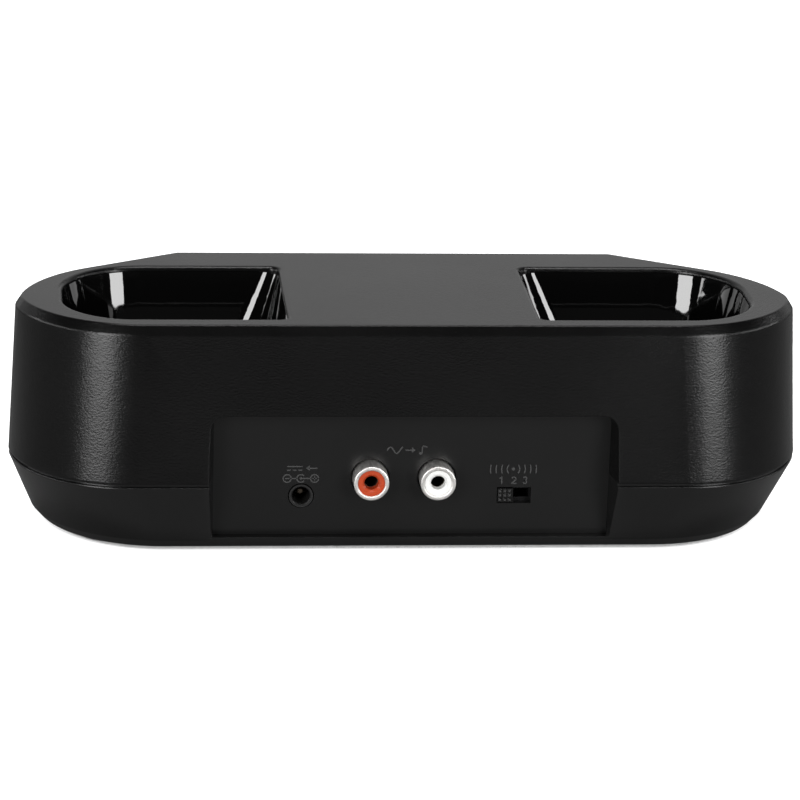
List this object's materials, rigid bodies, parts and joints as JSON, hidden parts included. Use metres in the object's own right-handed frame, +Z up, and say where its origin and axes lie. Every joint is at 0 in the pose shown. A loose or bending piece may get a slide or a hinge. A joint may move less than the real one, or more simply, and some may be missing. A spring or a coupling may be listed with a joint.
{
  "type": "wireless audio transmitter charging base",
  "caption": "Low black base with glossy charging wells in its top, a recessed connector panel with phono and power sockets and a channel switch, and a transmitter board inside.",
  "frame": {"origin": "centre of the bounding box's underside, on the surface that the feet stand on", "axes": "+Z up; -Y towards the connector side; +X to the right seen from the connector side"},
  "size_m": [0.1882, 0.0726, 0.0555],
  "materials": {
    "textured_plastic": "fine spark texture on the top shell",
    "satin_plastic": "smoother satin black",
    "gloss_plastic": "polished black",
    "panel_plastic": "satin black",
    "knob_plastic": "satin black",
    "foot_rubber": "soft dull rubber",
    "nickel": "bright nickel plate",
    "contact_bronze": "darkened phosphor bronze",
    "blackened_steel": "blackened sheet",
    "red_plastic": "red moulded insert",
    "white_plastic": "white moulded insert",
    "socket_plastic": "black glass-filled moulding",
    "tinned_steel": "tinned sheet",
    "circuit_board": "green solder mask on glass-epoxy board",
    "chip_epoxy": "moulded epoxy",
    "lens_plastic": "clear moulded plastic",
    "gold_plate": "gold-plated turned pins",
    "spring_steel": "drawn spring wire",
    "screw_steel": "zinc plate",
    "red_insulation": "red wire insulation",
    "black_insulation": "black wire insulation"
  },
  "bodies": {
    "base": {"top_shell": "textured_plastic", "bottom_shell": "satin_plastic", "left_well_cup": "gloss_plastic", "right_well_cup": "gloss_plastic", "connector_panel": "panel_plastic", "left_contact_block": "panel_plastic", "right_contact_block": "panel_plastic", "foot_back_left": "foot_rubber", "foot_back_right": "foot_rubber", "foot_front_left": "foot_rubber", "foot_front_right": "foot_rubber", "left_phono_barrel": "nickel", "right_phono_barrel": "nickel", "left_phono_contact": "contact_bronze", "right_phono_contact": "contact_bronze", "power_socket_pin": "contact_bronze", "switch_can": "blackened_steel", "red_phono_insert": "red_plastic", "white_phono_insert": "white_plastic", "left_lead_socket": "white_plastic", "right_lead_socket": "white_plastic", "phono_socket_body": "socket_plastic", "power_socket_body": "socket_plastic", "switch_base": "socket_plastic", "shield_can": "tinned_steel", "crystal": "tinned_steel", "antenna": "tinned_steel", "capacitors": "tinned_steel", "main_board": "circuit_board", "left_contact_board": "circuit_board", "right_contact_board": "circuit_board", "radio_chip": "chip_epoxy", "audio_chip": "chip_epoxy", "light_pipe": "lens_plastic", "status_led": "lens_plastic", "left_inner_spring": "spring_steel", "left_outer_spring": "spring_steel", "right_inner_spring": "spring_steel", "right_outer_spring": "spring_steel", "case_screws": "screw_steel", "cup_screws": "screw_steel", "contact_screws": "screw_steel", "board_screws": "screw_steel", "left_red_lead": "red_insulation", "right_red_lead": "red_insulation", "left_black_lead": "black_insulation", "right_black_lead": "black_insulation"},
    "channel_switch": {"channel_switch_knob": "knob_plastic"},
    "left_outer_pin": {"left_outer_plunger": "gold_plate"},
    "left_inner_pin": {"left_inner_plunger": "gold_plate"},
    "right_inner_pin": {"right_inner_plunger": "gold_plate"},
    "right_outer_pin": {"right_outer_plunger": "gold_plate"}
  },
  "joints": [
    {"name": "channel_switch_slide", "type": "slide", "parent": "base", "child": "channel_switch", "axis": [1, 0, 0], "range_m": [0, 0.004]},
    {"name": "left_outer_pin_travel", "type": "slide", "parent": "base", "child": "left_outer_pin", "axis": [0, 0, -1], "range_m": [0, 0.0016], "stiffness_N_per_m": 400, "springref_m": -0.0006, "deforming": ["left_outer_spring"]},
    {"name": "left_inner_pin_travel", "type": "slide", "parent": "base", "child": "left_inner_pin", "axis": [0, 0, -1], "range_m": [0, 0.0016], "stiffness_N_per_m": 400, "springref_m": -0.0006, "deforming": ["left_inner_spring"]},
    {"name": "right_inner_pin_travel", "type": "slide", "parent": "base", "child": "right_inner_pin", "axis": [0, 0, -1], "range_m": [0, 0.0016], "stiffness_N_per_m": 400, "springref_m": -0.0006, "deforming": ["right_inner_spring"]},
    {"name": "right_outer_pin_travel", "type": "slide", "parent": "base", "child": "right_outer_pin", "axis": [0, 0, -1], "range_m": [0, 0.0016], "stiffness_N_per_m": 400, "springref_m": -0.0006, "deforming": ["right_outer_spring"]}
  ]
}
